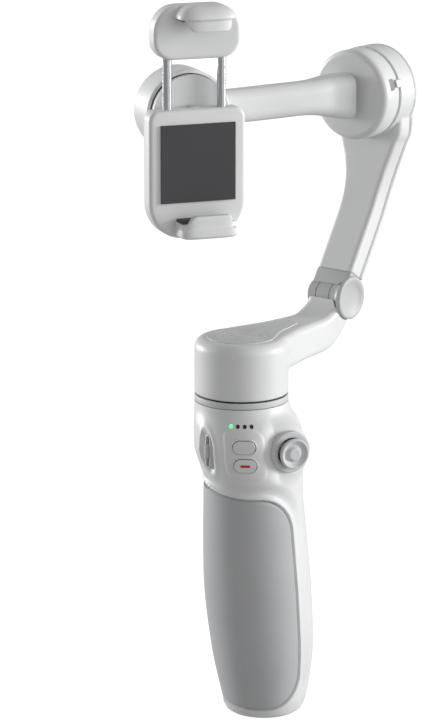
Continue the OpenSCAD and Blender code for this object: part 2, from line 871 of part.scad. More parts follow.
// A jaw's shelf seen from above: straight sides, bulging front
module shelf_plan(half, deep) {
    front = 1 - phone_t / 2 - lip_t;
    translate([jaw_shift, 0])
        polygon([[-half, deep], [-half, 0], [-half + 1, front + 3.4], [-8, front + 1.2],
                 [-3, front + 0.1], [0, front], [3, front + 0.1], [8, front + 1.2],
                 [half - 1, front + 3.4], [half, 0], [half, deep]]);
}
module lower_jaw() {
    color("whitesmoke") at_clamp() translate([0, 0, -jaw_z]) difference() {
        union() {
            translate([0, 0, -6.6]) linear_extrude(3.7) shelf_plan(11.6, back_y);
            translate([-9.8, -3.2, -3.4]) cube([22.8, back_y + 3.2, 2.4]);
            translate([0, 1 - phone_t / 2, -1.6]) rotate([90, 0, 0]) linear_extrude(lip_t)
                rounded(lip_w - 1, 7.6, 1.8);
        }
        translate([0, back_y - 1.4, -8]) cylinder(r = 0.9, h = 12);
    }
}

module jaw_pads() {
    color("dimgray") at_clamp() {
        translate([-9, -2.8, -jaw_z - 1]) cube([18, 7, 1]);
        translate([-15, back_y - 0.8, -jaw_z + 6]) cube([30, 0.8, 30]);
    }
}

module coil_ring(r, wire) {
    rotate_extrude() translate([r, 0]) circle(wire, $fn = 16);
}

module clamp_springs() {
    color("silver") at_clamp() for (x = [-rod_x, rod_x]) translate([x, rod_y, 0])
        for (k = [0:9]) translate([0, 0, -18.6 + 1.9 * k]) coil_ring(2.5, 0.4);
}

module upper_jaw() {
    head_low = 22.5;
    head_high = jaw_z + 5.2;
    color("whitesmoke") at_clamp() difference() {
        union() {
            translate([0, back_y + clamp_d - 0.1, (head_low + head_high) / 2]) rotate([90, 0, 0])
                linear_extrude(clamp_d - 0.1) rounded(head_w, head_high - head_low, 7.5);
            translate([0, 0, jaw_z]) intersection() {
                translate([0, 0, 0.1]) linear_extrude(5.8) shelf_plan(11.6, back_y + 4);
                translate([jaw_shift, back_y, -24]) rotate([90, 0, 0])
                    cylinder(r = 30, h = 30, center = true);
            }
            translate([0, 1 - phone_t / 2, jaw_z]) rotate([90, 0, 0]) linear_extrude(lip_t)
                offset(r = 1) offset(delta = -1)
                    polygon([[-lip_w / 2 + 0.2, 2.2], [-lip_w / 2 + 0.5, 0.9], [-4.9, lip_tip],
                             [lip_w / 2 - 0.4, lip_tip], [lip_w / 2 + 0.2, 0.2], [lip_w / 2 + 0.2, 2.2]]);
        }
        for (x = [-rod_x, rod_x]) translate([x, rod_y, head_low - 1]) cylinder(r = clamp_rod_r, h = 9);
        translate([-9.05, -2.85, jaw_z - 1]) cube([18.1, 7.1, 2]);
    }
}

module clamp_rods() {
    color("silver") at_clamp() for (x = [-rod_x, rod_x]) translate([x, rod_y, -21.5]) {
        cylinder(r = clamp_rod_r, h = 52);
        cylinder(r = spring_r, h = 1.5);
    }
}

module upper_pad() {
    color("dimgray") at_clamp() translate([-9, -2.8, jaw_z]) cube([18, 7, 1]);
}

handle_shell();
grip_panel();
base_cap();
thread_insert();
neck_plate();
control_panel();
led_lit();
leds_unlit();
mode_button();
record_button();
record_mark();
joystick_collar();
joystick_yoke();
joystick_cap();
zoom_bezel();
zoom_slider();
trigger();
trigger_pin();
power_button();
usb_socket();
battery_cell();
main_board();
button_switches();
rod_guide_tube();
rod_section_1();
rod_section_2();
rod_section_3();
pan_collar();
pan_stator();
pan_bearing();
pan_housing();
pan_inlay();
pan_magnets();
pan_shaft();
hinge_knuckle();
hinge_cap();
hinge_pin();
hinge_barrel();
upper_arm();
arm_cover();
arm_cable();
tilt_stator();
tilt_bearing();
tilt_stop();
tilt_rotor();
tilt_magnets();
tilt_shaft();
cross_arm();
roll_stator();
roll_bearing();
roll_cover();
roll_magnets();
roll_shaft();
clamp_body();
lower_jaw();
jaw_pads();
clamp_springs();
upper_jaw();
clamp_rods();
upper_pad();
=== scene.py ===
"""Looks of a hand-held phone gimbal stabilizer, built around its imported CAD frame.

Everything is built in metres in the CAD's frame: +Z up, the clamp faces -Y. Lengths below are in
millimetres and become metres with MM. Azimuths turn from +X towards +Y.
"""
import json
import math

import bmesh
import bpy
import numpy as np
from mathutils import Matrix, Vector

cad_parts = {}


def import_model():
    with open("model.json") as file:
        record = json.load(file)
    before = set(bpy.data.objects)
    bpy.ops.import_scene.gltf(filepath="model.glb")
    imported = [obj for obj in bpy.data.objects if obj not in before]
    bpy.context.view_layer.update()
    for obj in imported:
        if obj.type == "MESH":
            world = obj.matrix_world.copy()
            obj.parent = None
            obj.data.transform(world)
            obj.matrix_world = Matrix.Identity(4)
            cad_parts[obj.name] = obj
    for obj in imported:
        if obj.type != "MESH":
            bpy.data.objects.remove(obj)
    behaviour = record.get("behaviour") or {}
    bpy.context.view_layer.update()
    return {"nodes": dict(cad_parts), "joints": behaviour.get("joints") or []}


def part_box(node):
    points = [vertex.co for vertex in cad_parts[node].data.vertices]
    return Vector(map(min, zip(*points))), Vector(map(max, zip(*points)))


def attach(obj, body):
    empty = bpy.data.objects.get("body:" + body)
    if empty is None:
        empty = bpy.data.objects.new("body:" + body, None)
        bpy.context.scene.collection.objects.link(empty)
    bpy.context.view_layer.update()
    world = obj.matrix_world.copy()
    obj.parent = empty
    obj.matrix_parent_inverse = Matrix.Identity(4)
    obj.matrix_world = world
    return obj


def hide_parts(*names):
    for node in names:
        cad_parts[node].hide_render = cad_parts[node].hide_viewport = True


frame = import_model()

MM = 0.001
JOINT = {j["name"]: j for j in frame["joints"]}
NODE = frame["nodes"]

# ---------------------------------------------------------------- places, from the frame

PAN = Vector(JOINT["pan"]["pos_m"])
HINGE = Vector(JOINT["fold"]["pos_m"])
TILT_AXIS = Vector(JOINT["tilt"]["axis"])
ROLL = Vector(JOINT["roll"]["pos_m"])
LEAN = math.atan2(-PAN.y, -PAN.x)        # azimuth of the handle's lean, from the pan axis to the foot

COLLAR_PLUG_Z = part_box("pan_collar")[0].z / MM
PAN_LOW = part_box("pan_housing")[0].z / MM
HINGE_X = (HINGE - PAN).xy.length / MM
HINGE_Z = HINGE.z / MM
TILT_Z = JOINT["tilt"]["pos_m"][2] / MM

# ---------------------------------------------------------------- driving sizes, as in the CAD

MOTOR_R = 18.3
CORE_ROOM = 15.7                         # radius of the room for a motor's core
PAN_HIGH = 148
ARM_W, ARM_T = 17, 9.8
ARM_LEAN = math.radians(31.5)
BARREL_R, CAP_R = 5.6, 8.6
BEND_R, STRAIGHT = 74.0, 29.6
COVER_T = 2.2
SHOULDER = 9.2                           # height of the grey foot, along the upper arm
SEAM_X = 77.9                            # the tilt motor's seam, from the pan axis
STOP_ANGLE = math.radians(-107)
ROLL_R, ROLL_FRONT, ROLL_DEPTH = 17, 15.6, 17.0

JAW_Z = 76.3 / 2
BACK_Y, CLAMP_D, PHONE_T, LIP_T = 5.0, 8.0, 8.0, 3.6
CLAMP_W, HEAD_W = 39.0, 35.0
FRONT_Y = 1 - PHONE_T / 2 - LIP_T
JAW_SHIFT, JAW_HALF = 1.6, 11.6
ROD_X, ROD_Y = 11.0, 9.0

# ---------------------------------------------------------------- placing

ARM_TURN = Matrix.Rotation(math.atan2(TILT_AXIS.y, TILT_AXIS.x), 4, "Z")
AT_PAN = Matrix.Translation((PAN.x, PAN.y, 0))
AT_ARM = AT_PAN @ ARM_TURN
AT_HINGE = (AT_ARM @ Matrix.Translation((HINGE_X * MM, 0, HINGE_Z * MM))
            @ Matrix.Rotation(math.pi / 2, 4, "X"))
AT_ROLL = Matrix.Translation((ROLL.x, PAN.y, ROLL.z))


def at_tilt(x):
    """Local z runs outward along the tilt axis, from x mm off the pan axis."""
    return AT_ARM @ Matrix.Translation((x * MM, 0, TILT_Z * MM)) @ Matrix.Rotation(math.pi / 2, 4, "Y")


def at_stop(x, out, up):
    """On the tilt motor's rim at the storage stop: out mm from the axis and up mm along it."""
    return (at_tilt(x) @ Matrix.Rotation(STOP_ANGLE, 4, "Z")
            @ Matrix.Translation((out * MM, 0, up * MM)))


def at_roll(y):
    """Local z runs back along the roll axis, from depth y in mm."""
    return AT_ROLL @ Matrix.Translation((0, y * MM, 0)) @ Matrix.Rotation(-math.pi / 2, 4, "X")


def at_clamp(x, y, z):
    """A place on the clamp in mm, its axes as in the CAD."""
    return AT_ROLL @ Matrix.Translation((x * MM, y * MM, z * MM))


def clamp_xz(y):
    """Local x right, local y up and local z towards the operator, from depth y in mm."""
    return AT_ROLL @ Matrix.Translation((0, y * MM, 0)) @ Matrix.Rotation(math.pi / 2, 4, "X")


def lean(along, across):
    """Side-view point in mm from the fold hinge, along and across the leaning arm."""
    c, s = math.cos(ARM_LEAN), math.sin(ARM_LEAN)
    return (HINGE_X + along * s + across * c, HINGE_Z + along * c - across * s)


# ---------------------------------------------------------------- mesh helpers

def mesh_object(name, verts, faces, sharp=35):
    """A linked object; edges above the sharp angle in degrees stay crisp."""
    mesh = bpy.data.meshes.new(name)
    mesh.from_pydata([tuple(v) for v in verts], [], [tuple(f) for f in faces])
    mesh.validate()
    obj = bpy.data.objects.new(name, mesh)
    bpy.context.scene.collection.objects.link(obj)
    shade(obj, sharp)
    return obj


def shade(obj, sharp=35):
    mesh = obj.data
    mesh.shade_smooth()
    mesh.set_sharp_from_angle(angle=math.radians(sharp))


def place(obj, matrix):
    obj.data.transform(matrix)
    obj.data.update()
    return obj


def bake(obj, sharp=35):
    """Applies the object's modifiers to its mesh."""
    graph = bpy.context.evaluated_depsgraph_get()
    graph.update()
    mesh = bpy.data.meshes.new_from_object(obj.evaluated_get(graph))
    obj.modifiers.clear()
    obj.data = mesh
    shade(obj, sharp)
    return obj


def bevel(obj, width, segments, angle):
    """Rounds the edges that are sharper than an angle in degrees."""
    mod = obj.modifiers.new("bevel", "BEVEL")
    mod.width = width
    mod.segments = segments
    mod.limit_method = "ANGLE"
    mod.angle_limit = math.radians(angle)
    mod.harden_normals = False
    return bake(obj, 50)


def joined(name, parts):
    """One object holding the meshes of several, which are removed."""
    verts, faces = [], []
    for part in parts:
        base = len(verts)
        verts += [v.co.copy() for v in part.data.vertices]
        faces += [[base + i for i in p.vertices] for p in part.data.polygons]
        bpy.data.objects.remove(part)
    return mesh_object(name, verts, faces)


def melt(obj, voxel, rounds, factor=0.5):
    """Unites overlapping closed forms and softens their edges."""
    mod = obj.modifiers.new("remesh", "REMESH")
    mod.mode = "VOXEL"
    mod.voxel_size = voxel
    bake(obj)
    soften = obj.modifiers.new("smooth", "SMOOTH")
    soften.iterations = rounds
    soften.factor = factor
    return bake(obj, 60)


def carve(obj, cutters, sharp=35):
    """Cuts the cutters out of the object. They mustn't overlap each other."""
    cutter = joined(obj.name + "_cutter", cutters)
    mod = obj.modifiers.new("carve", "BOOLEAN")
    mod.operation = "DIFFERENCE"
    mod.solver = "EXACT"
    mod.use_self = False
    mod.object = cutter
    bake(obj, sharp)
    bpy.data.objects.remove(cutter)
    return obj


def arc(cx, cy, r, start, end, steps=8):
    """Points on a circle between two angles in degrees."""
    turn = [math.radians(start + (end - start) * k / steps) for k in range(steps + 1)]
    return [(cx + r * math.cos(a), cy + r * math.sin(a)) for a in turn]


def lathe(name, profile, matrix=Matrix(), sides=128, sharp=35):
    """Turns a closed profile of (radius, height) in mm around local z. It starts and ends on the axis
    or, for a ring, closes on itself."""
    ring = min(r for r, z in profile) > 0
    turn = [2 * math.pi * k / sides for k in range(sides)]
    verts = [(r * MM * math.cos(a), r * MM * math.sin(a), z * MM) for r, z in profile for a in turn]
    faces = []
    rows = len(profile)
    for i in range(rows if ring else rows - 1):
        j = (i + 1) % rows
        for k in range(sides):
            n = (k + 1) % sides
            faces.append((i * sides + k, i * sides + n, j * sides + n, j * sides + k))
    obj = mesh_object(name, verts, faces, sharp)
    weld(obj)
    shade(obj, sharp)
    return place(obj, matrix)


def weld(obj):
    """Merges the points that lie on top of each other, as where a lathe's profile meets its axis."""
    mod = obj.modifiers.new("weld", "WELD")
    mod.merge_threshold = 0.001 * MM
    bake(obj)
    fix_normals(obj)


def fix_normals(obj):
    bm = bmesh.new()
    bm.from_mesh(obj.data)
    bmesh.ops.recalc_face_normals(bm, faces=bm.faces)
    bm.to_mesh(obj.data)
    bm.free()


def loft(name, rings, sharp=35):
    """Skins closed rings of equal length and caps both ends."""
    n = len(rings[0])
    verts = [p for ring in rings for p in ring]
    faces = [tuple(range(n))[::-1]]
    for i in range(len(rings) - 1):
        for k in range(n):
            m = (k + 1) % n
            faces.append((i * n + k, i * n + m, (i + 1) * n + m, (i + 1) * n + k))
    last = (len(rings) - 1) * n
    faces.append(tuple(last + k for k in range(n)))
    obj = mesh_object(name, verts, faces, sharp)
    fix_normals(obj)
    return obj


def rounded(w, h, r, steps=6):
    """Outline of a round-cornered rectangle, centred, in the units given."""
    r = min(r, w / 2 * 0.999, h / 2 * 0.999)
    x, y = w / 2 - r, h / 2 - r
    return (arc(x, y, r, 0, 90, steps) + arc(-x, y, r, 90, 180, steps)
            + arc(-x, -y, r, 180, 270, steps) + arc(x, -y, r, 270, 360, steps))


def prism(name, outline, low, high, edge=0.0, matrix=Matrix(), steps=3):
    """Extrudes an outline in mm along local z, with rounded rims."""
    n = len(outline)
    verts = [(x * MM, y * MM, z * MM) for z in (low, high) for x, y in outline]
    faces = [tuple(range(n))[::-1], tuple(range(n, 2 * n))]
    faces += [(k, (k + 1) % n, n + (k + 1) % n, n + k) for k in range(n)]
    obj = mesh_object(name, verts, faces)
    fix_normals(obj)
    if edge:
        bevel(obj, edge * MM, steps, 50)
    return place(obj, matrix)


def smooth_curve(points, count):
    """Catmull-Rom curve through the points, resampled to count points at even arc length."""
    p = np.array(points, float)
    ends = np.vstack([2 * p[0] - p[1], p, 2 * p[-1] - p[-2]])
    out = []
    for i in range(len(p) - 1):
        a, b, c, d = ends[i:i + 4]
        for t in np.linspace(0, 1, 24, endpoint=False):
            out.append(b + t / 2 * (c - a + t * (2 * a - 5 * b + 4 * c - d + t * (3 * (b - c) + d - a))))
    out.append(p[-1])
    out = np.array(out)
    step = np.r_[0, np.cumsum(np.linalg.norm(np.diff(out[:, :2], axis=0), axis=1))]
    even = np.linspace(0, step[-1], count)
    return np.stack([np.interp(even, step, out[:, k]) for k in range(out.shape[1])], 1)


# ---------------------------------------------------------------- materials

def moulded(name, colour, rough, grain=0.35, grain_mm=0.28, mottle=0.03):
    """Moulded plastic or rubber: fine spark texture, faint uneven tone and a slightly varied gloss."""
    mat = bpy.data.materials.new(name)
    mat.use_nodes = True
    tree = mat.node_tree
    shader = tree.nodes["Principled BSDF"]
    where = tree.nodes.new("ShaderNodeTexCoord")
    fine = tree.nodes.new("ShaderNodeTexNoise")
    fine.inputs["Scale"].default_value = 1 / (grain_mm * MM)
    fine.inputs["Detail"].default_value = 3
    broad = tree.nodes.new("ShaderNodeTexNoise")
    broad.inputs["Scale"].default_value = 55
    broad.inputs["Detail"].default_value = 2
    tone = tree.nodes.new("ShaderNodeMix")
    tone.data_type = "RGBA"
    tone.inputs["A"].default_value = (*[c * (1 - mottle) for c in colour], 1)
    tone.inputs["B"].default_value = (*[min(1, c * (1 + mottle)) for c in colour], 1)
    gloss = tree.nodes.new("ShaderNodeMapRange")
    gloss.inputs["To Min"].default_value = rough - 0.05
    gloss.inputs["To Max"].default_value = rough + 0.05
    bump = tree.nodes.new("ShaderNodeBump")
    bump.inputs["Strength"].default_value = grain
    bump.inputs["Distance"].default_value = 0.02 * MM
    for tex in (fine, broad):
        tree.links.new(where.outputs["Object"], tex.inputs["Vector"])
    tree.links.new(broad.outputs["Fac"], tone.inputs["Factor"])
    tree.links.new(broad.outputs["Fac"], gloss.inputs["Value"])
    tree.links.new(gloss.outputs["Result"], shader.inputs["Roughness"])
    tree.links.new(tone.outputs["Result"], shader.inputs["Base Color"])
    tree.links.new(fine.outputs["Fac"], bump.inputs["Height"])
    tree.links.new(bump.outputs["Normal"], shader.inputs["Normal"])
    return mat


def metal(name, colour, rough, stretch=(1, 1, 12)):
    """Turned or ground metal with fine lines across its length."""
    mat = moulded(name, colour, rough, grain=0.25, grain_mm=0.2, mottle=0.05)
    tree = mat.node_tree
    tree.nodes["Principled BSDF"].inputs["Metallic"].default_value = 1.0
    fine = tree.nodes["Noise Texture"]
    mapping = tree.nodes.new("ShaderNodeMapping")
    mapping.inputs["Scale"].default_value = stretch
    where = tree.nodes["Texture Coordinate"]
    tree.links.new(where.outputs["Object"], mapping.inputs["Vector"])
    tree.links.new(mapping.outputs["Vector"], fine.inputs["Vector"])
    return mat


def glowing(name, colour, strength):
    mat = moulded(name, colour, 0.3, grain=0.1)
    shader = mat.node_tree.nodes["Principled BSDF"]
    shader.inputs["Emission Color"].default_value = (*colour, 1)
    shader.inputs["Emission Strength"].default_value = strength
    return mat


def windings(name):
    """Enamelled copper wire wound round a core."""
    mat = metal(name, (0.72, 0.33, 0.13), 0.32)
    tree = mat.node_tree
    wave = tree.nodes.new("ShaderNodeTexWave")
    wave.bands_direction = "Z"
    wave.inputs["Scale"].default_value = 700
    tree.links.new(tree.nodes["Texture Coordinate"].outputs["Object"], wave.inputs["Vector"])
    tree.links.new(wave.outputs["Fac"], tree.nodes["Bump"].inputs["Height"])
    tree.nodes["Bump"].inputs["Distance"].default_value = 0.12 * MM
    return mat


WHITE = moulded("white_shell_plastic", (0.78, 0.785, 0.79), 0.42)
WHITE_SOFT = moulded("white_panel_plastic", (0.76, 0.765, 0.77), 0.5)
GRIP = moulded("soft_grip_rubber", (0.50, 0.505, 0.515), 0.72, grain=0.8, grain_mm=0.4, mottle=0.04)
LIGHT_GREY = moulded("light_grey_plastic", (0.64, 0.645, 0.65), 0.48)
INLAY = moulded("inlay_grey_plastic", (0.66, 0.665, 0.675), 0.5)
MID_GREY = moulded("mid_grey_plastic", (0.55, 0.555, 0.56), 0.45)
STICK_GREY = moulded("stick_grey_rubber", (0.64, 0.645, 0.655), 0.6, grain=0.6)
# Dark plastic parts; the same material also paints the shade in the gap above the pan collar.
DARK = moulded("dark_plastic", (0.025, 0.025, 0.028), 0.5)
PAD = moulded("pad_rubber", (0.06, 0.06, 0.065), 0.8, grain=0.8, grain_mm=0.5)
STEEL = metal("ground_steel", (0.60, 0.61, 0.62), 0.28)
MAGNET = metal("nickel_plated_magnet", (0.45, 0.45, 0.47), 0.25)
BRASS = metal("turned_brass", (0.78, 0.57, 0.25), 0.3)
COPPER = windings("copper_winding")
GREEN = glowing("lit_green_diode", (0.16, 0.95, 0.35), 0.8)
RED = moulded("printed_red", (0.55, 0.015, 0.03), 0.45, grain=0.1)
BOARD = moulded("green_circuit_board", (0.01, 0.12, 0.05), 0.35, grain=0.5, grain_mm=0.9, mottle=0.3)
SLEEVE = moulded("blue_cell_sleeve", (0.03, 0.12, 0.3), 0.3, grain=0.1)
FLAT_CABLE = moulded("flexible_circuit", (0.45, 0.16, 0.02), 0.35, grain=0.2)

NODE_MATERIAL = {
    "base_cap": LIGHT_GREY, "thread_insert": BRASS, "neck_plate": DARK, "joystick_yoke": DARK,
    "trigger_pin": STEEL, "usb_socket": DARK, "battery_cell": SLEEVE, "main_board": BOARD,
    "button_switches": DARK, "rod_guide_tube": STEEL, "rod_section_1": STEEL, "rod_section_2": STEEL,
    "rod_section_3": STEEL, "pan_stator": COPPER, "pan_bearing": STEEL, "pan_magnets": MAGNET,
    "pan_shaft": STEEL, "hinge_pin": STEEL, "arm_cable": FLAT_CABLE, "tilt_stator": COPPER,
    "tilt_bearing": STEEL, "tilt_magnets": MAGNET, "tilt_shaft": STEEL, "roll_stator": COPPER,
    "roll_bearing": STEEL, "roll_magnets": MAGNET, "roll_shaft": STEEL, "clamp_springs": STEEL,
    "clamp_rods": STEEL, "jaw_pads": PAD, "upper_pad": PAD, "leds_unlit": DARK, "led_lit": GREEN,
    "zoom_slider": MID_GREY,
}


def finish(obj, material, body, slot, *nodes):
    """Gives a new piece its material and its body, and hides the CAD nodes that it stands for. The slot is
    not used.
    """
    obj.data.materials.clear()
    obj.data.materials.append(material)
    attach(obj, body)
    if nodes:
        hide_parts(*nodes)
    return obj


def dress_nodes():
    for name, material in NODE_MATERIAL.items():
        obj = NODE[name]
        obj.data.materials.clear()
        obj.data.materials.append(material)


# ---------------------------------------------------------------- handle

# Height, shift of the centre from the pan axis along the lean, radius: all in mm, from the foot up
HANDLE = [(0, 12.5, 13.6), (1.2, 12.6, 15.1), (4, 12.9, 16.1), (10, 12.9, 17.4), (25, 11.9, 19.8),
          (48, 9.4, 20.9), (70, 7.7, 20.2), (85.5, 6.7, 19.4), (94.5, 6.4, 19.6), (104, 4.3, 21.2),
          (109.5, 4, 21.3), (115.2, 2.6, 20.4), (119.6, 0.8, 18.85), (123, 0, 18.3)]
HANDLE_CURVE = smooth_curve(HANDLE, 400)
HANDLE_TOP = HANDLE[-1][0]

SHELL_WALL = 2.4
GRIP_FRONT, GRIP_BACK = 27, -152      # the grip's two long edges, in degrees round from the front
GRIP_LOW, GRIP_HIGH, GRIP_RISE = 3.6, 88.9, 5
GRIP_CORNER = 14
BUTTON_ANGLE, ZOOM_ANGLE = -25, -71
BUTTON_W, BUTTON_H = 8.6, 5
MODE_Z, RECORD_Z, ZOOM_Z, STICK_Z = 110, 102.8, 106.2, 106.8
STICK_ANGLE, STICK_FACE, STICK_OUT = 26, 6, 1.0
TRIGGER_ANGLE, TRIGGER_Z = 155, 97
SIDE_ANGLE, POWER_Z, USB_Z = 98, 104, 88
LED_Z = 117.3
LED_ANGLES = (-36, -28.2, -20.5, -12.8)


def section(z):
    """Shift and radius of the handle in mm at height z in mm."""
    return (np.interp(z, HANDLE_CURVE[:, 0], HANDLE_CURVE[:, 1]),
            np.interp(z, HANDLE_CURVE[:, 0], HANDLE_CURVE[:, 2]))


def skin_points(angle, z, out):
    """Points on the handle's skin. angle is in degrees from the front (-Y), out in mm."""
    shift, radius = section(z)
    a = np.radians(angle)
    x = PAN.x + (shift * math.cos(LEAN) + (radius + out) * np.sin(a)) * MM
    y = PAN.y + (shift * math.sin(LEAN) - (radius + out) * np.cos(a)) * MM
    return np.stack([x, y, z * MM + 0 * x], -1)


def on_skin(angle, z):
    """Local z points outward, local x to the right and local y up."""
    point = Vector(skin_points(float(angle), float(z), 0.0))
    turn = Matrix.Rotation(math.radians(angle), 4, "Z") @ Matrix.Rotation(math.pi / 2, 4, "X")
    return Matrix.Translation(point) @ turn


def at_stick():
    """The joystick's collar: it faces more to the front than the skin under it."""
    point = Vector(skin_points(float(STICK_ANGLE), float(STICK_Z), 0.0))
    turn = Matrix.Rotation(math.radians(STICK_FACE), 4, "Z") @ Matrix.Rotation(math.pi / 2, 4, "X")
    return Matrix.Translation(point) @ turn @ Matrix.Translation((0, 0, STICK_OUT * MM))


def step(value, low, high):
    """Smooth step from 0 at low to 1 at high."""
    t = np.clip((value - low) / (high - low), 0, 1)
    return t * t * (3 - 2 * t)


def skin_distance(angle, z, centre_angle, centre_z):
    """Sideways and upward distance in mm along the skin from a control's centre."""
    return np.radians(angle - centre_angle) * section(z)[1], z - centre_z


def box_depth(dx, dz, corner):
    """Distance in mm inside a round-cornered region, from the distances to its nearest two sides."""
    flat = np.minimum(dx, dz)
    bend = corner - np.hypot(np.maximum(corner - dx, 0), np.maximum(corner - dz, 0))
    return np.where((dx < corner) & (dz < corner), bend, flat)


def grip_depth(angle, z):
    """Distance in mm inside the grip's border; negative outside."""
    radius = section(z)[1]
    front = np.radians(GRIP_FRONT - angle) * radius
    back = np.radians(angle - GRIP_BACK) * radius
    top = GRIP_HIGH + GRIP_RISE * step(-angle, 20, 150) - z
    return box_depth(np.minimum(front, back), np.minimum(top, z - GRIP_LOW), GRIP_CORNER)


def shell_relief(angle, z):
    """Relief of the handle shell in mm: grip pocket, its rim and valley, stick mound, zoom dish."""
    depth = grip_depth(angle, z)
    out = -1.5 * step(depth, -0.1, 0.5)
    rim = 0.22 * step(depth, -1.5, -1.0) * (1 - step(depth, -0.35, 0.0))
    valley = -0.95 * step(-depth, 0.8, 2.4) * (1 - step(-depth, 2.8, 8.0))
    fade = step(z, GRIP_LOW + 2, GRIP_LOW + 12)
    out = out + rim + valley * fade * (1 - step(z, 92, 97))
    dx, dz = skin_distance(angle, z, STICK_ANGLE, STICK_Z)
    lean_out = np.clip(0.55 + 0.36 * dx, -1.2, 3.4)
    out = out + lean_out * (1 - step(np.hypot(dx, dz * 0.95), 7.4, 14.0))
    dx, dz = skin_distance(angle, z, ZOOM_ANGLE, ZOOM_Z)
    oval = np.hypot(dx / 4.6, dz / 9.4)
    dish = -1.2 * (1 - step(oval, 0.55, 1.0))
    dish_rim = 0.25 * step(oval, 0.75, 1.0) * (1 - step(oval, 1.0, 1.35))
    out = out + dish + dish_rim
    dx, dz = skin_distance(angle, z, BUTTON_ANGLE, (MODE_Z + RECORD_Z) / 2)
    inside = box_depth(7.3 - np.abs(dx), 9.0 - np.abs(dz), 3.4)
    return out + 0.32 * step(inside, -1.1, 0.1)


def handle_cutters():
    """Openings of the shell for its controls."""
    gap = 0.32
    button = rounded(BUTTON_W + 2 * gap, BUTTON_H + 2 * gap, 2.8, 8)
    diode = [(0, -3), (0.78, -3), (0.78, 3), (0, 3)]
    cutters = [prism("c", button, -6, 6, 0, on_skin(BUTTON_ANGLE, z)) for z in (MODE_Z, RECORD_Z)]
    cutters.append(lathe("c", [(0, -11), (7.0, -11), (7.0, 10), (0, 10)], at_stick(), 64))
    cutters.append(prism("c", rounded(3.2, 13.6, 1.6, 8), -5, 6, 0, on_skin(ZOOM_ANGLE, ZOOM_Z)))
    cutters += [lathe("c", diode, on_skin(a, LED_Z), 24) for a in LED_ANGLES]
    cutters.append(prism("c", rounded(10.7, 19.6, 5.2, 8), -6, 6, 0, on_skin(TRIGGER_ANGLE, TRIGGER_Z)))
    cutters.append(lathe("c", [(0, -6), (3.7, -6), (3.7, 6), (0, 6)], on_skin(SIDE_ANGLE, POWER_Z), 48))
    cutters.append(prism("c", rounded(3.6, 9.4, 1.75, 8), -7, 6, 0, on_skin(SIDE_ANGLE, USB_Z)))
    return cutters


def handle_shell():
    columns = 340
    foot = [0, 0.35, 0.7, 1.1, 1.6]
    angles = np.linspace(-180, 180, columns, endpoint=False)
    heights = np.r_[foot, np.linspace(2.2, HANDLE_TOP - 0.4, 300), HANDLE_TOP - 0.15, HANDLE_TOP]
    a, z = np.meshgrid(angles, heights)
    outer = skin_points(a, z, shell_relief(a, z))
    a, z = np.meshgrid(angles, np.linspace(HANDLE_TOP, 0, 40))
    inner = skin_points(a, z, -SHELL_WALL + 0 * a)
    rows = np.concatenate([outer, inner])
    count = len(rows)
    faces = []
    for i in range(count):
        j = (i + 1) % count
        for k in range(columns):
            n = (k + 1) % columns
            faces.append((i * columns + k, i * columns + n, j * columns + n, j * columns + k))
    obj = mesh_object("handle_shell_skin", rows.reshape(-1, 3), faces)
    fix_normals(obj)
    carve(obj, handle_cutters(), 38)
    return finish(obj, WHITE, "handle", "white_shell", "handle_shell")


def skin_patch(name, angle_low, angle_high, z_low, z_high, out, thick, columns, rows):
    """A closed sheet on the handle's skin with an outer relief and a smooth back."""
    angles = np.linspace(angle_low, angle_high, columns)
    heights = np.linspace(z_low, z_high, rows)
    a, z = np.meshgrid(angles, heights)
    front = skin_points(a, z, out(a, z)).reshape(-1, 3)
    back = skin_points(a, z, thick + 0 * a).reshape(-1, 3)
    verts = np.concatenate([front, back])
    n = columns * rows
    faces = []
    for i in range(rows - 1):
        for k in range(columns - 1):
            q = (i * columns + k, i * columns + k + 1, (i + 1) * columns + k + 1, (i + 1) * columns + k)
            faces.append(q)
            faces.append(tuple(n + v for v in q[::-1]))
    border = ([k for k in range(columns)] + [i * columns + columns - 1 for i in range(1, rows)]
              + [(rows - 1) * columns + k for k in range(columns - 2, -1, -1)]
              + [i * columns for i in range(rows - 2, 0, -1)])
    for k, v in enumerate(border):
        w = border[(k + 1) % len(border)]
        faces.append((w, v, n + v, n + w))
    obj = mesh_object(name, verts, faces)
    fix_normals(obj)
    return obj


def grip_panel():
    def relief(a, z):
        depth = grip_depth(a, z)
        return -1.45 + 1.5 * np.sqrt(np.clip(step(depth, 0.22, 1.5), 0, 1)) + 0.12 * step(depth, 0.5, 9)

    obj = skin_patch("grip_panel_skin", GRIP_BACK + 0.2, GRIP_FRONT - 0.2, GRIP_LOW + 0.1, GRIP_HIGH + 1.3,
                     relief, -1.47, 360, 260)
    return finish(obj, GRIP, "handle", "grey_grip", "grip_panel")


def pill_button(name, z, body, *nodes):
    outline = rounded(BUTTON_W, BUTTON_H, 2.5, 10)
    cap = prism(name, outline, -2.2, 1.15, 0.45, on_skin(BUTTON_ANGLE, z), 4)
    return finish(cap, WHITE_SOFT, body, "white_shell", *nodes)


def record_mark():
    mark = prism("record_mark_face", rounded(3.8, 0.95, 0.45, 6), 1.1, 1.26, 0.05,
                 on_skin(BUTTON_ANGLE, RECORD_Z))
    return finish(mark, RED, "record_key", "red_mark", "record_mark")


def control_panel():
    """Thin bezel rings around the two pill buttons."""
    rings = []
    for z in (MODE_Z, RECORD_Z):
        ring = prism("ring", rounded(9.9, 6.3, 3.1, 10), -0.5, 0.52, 0.12, on_skin(BUTTON_ANGLE, z))
        hole = prism("hole", rounded(9.2, 5.6, 2.78, 10), -3, 3, 0, on_skin(BUTTON_ANGLE, z))
        rings.append(carve(ring, [hole], 40))
    obj = joined("control_panel_bezels", rings)
    return finish(obj, WHITE_SOFT, "handle", "white_shell", "control_panel")


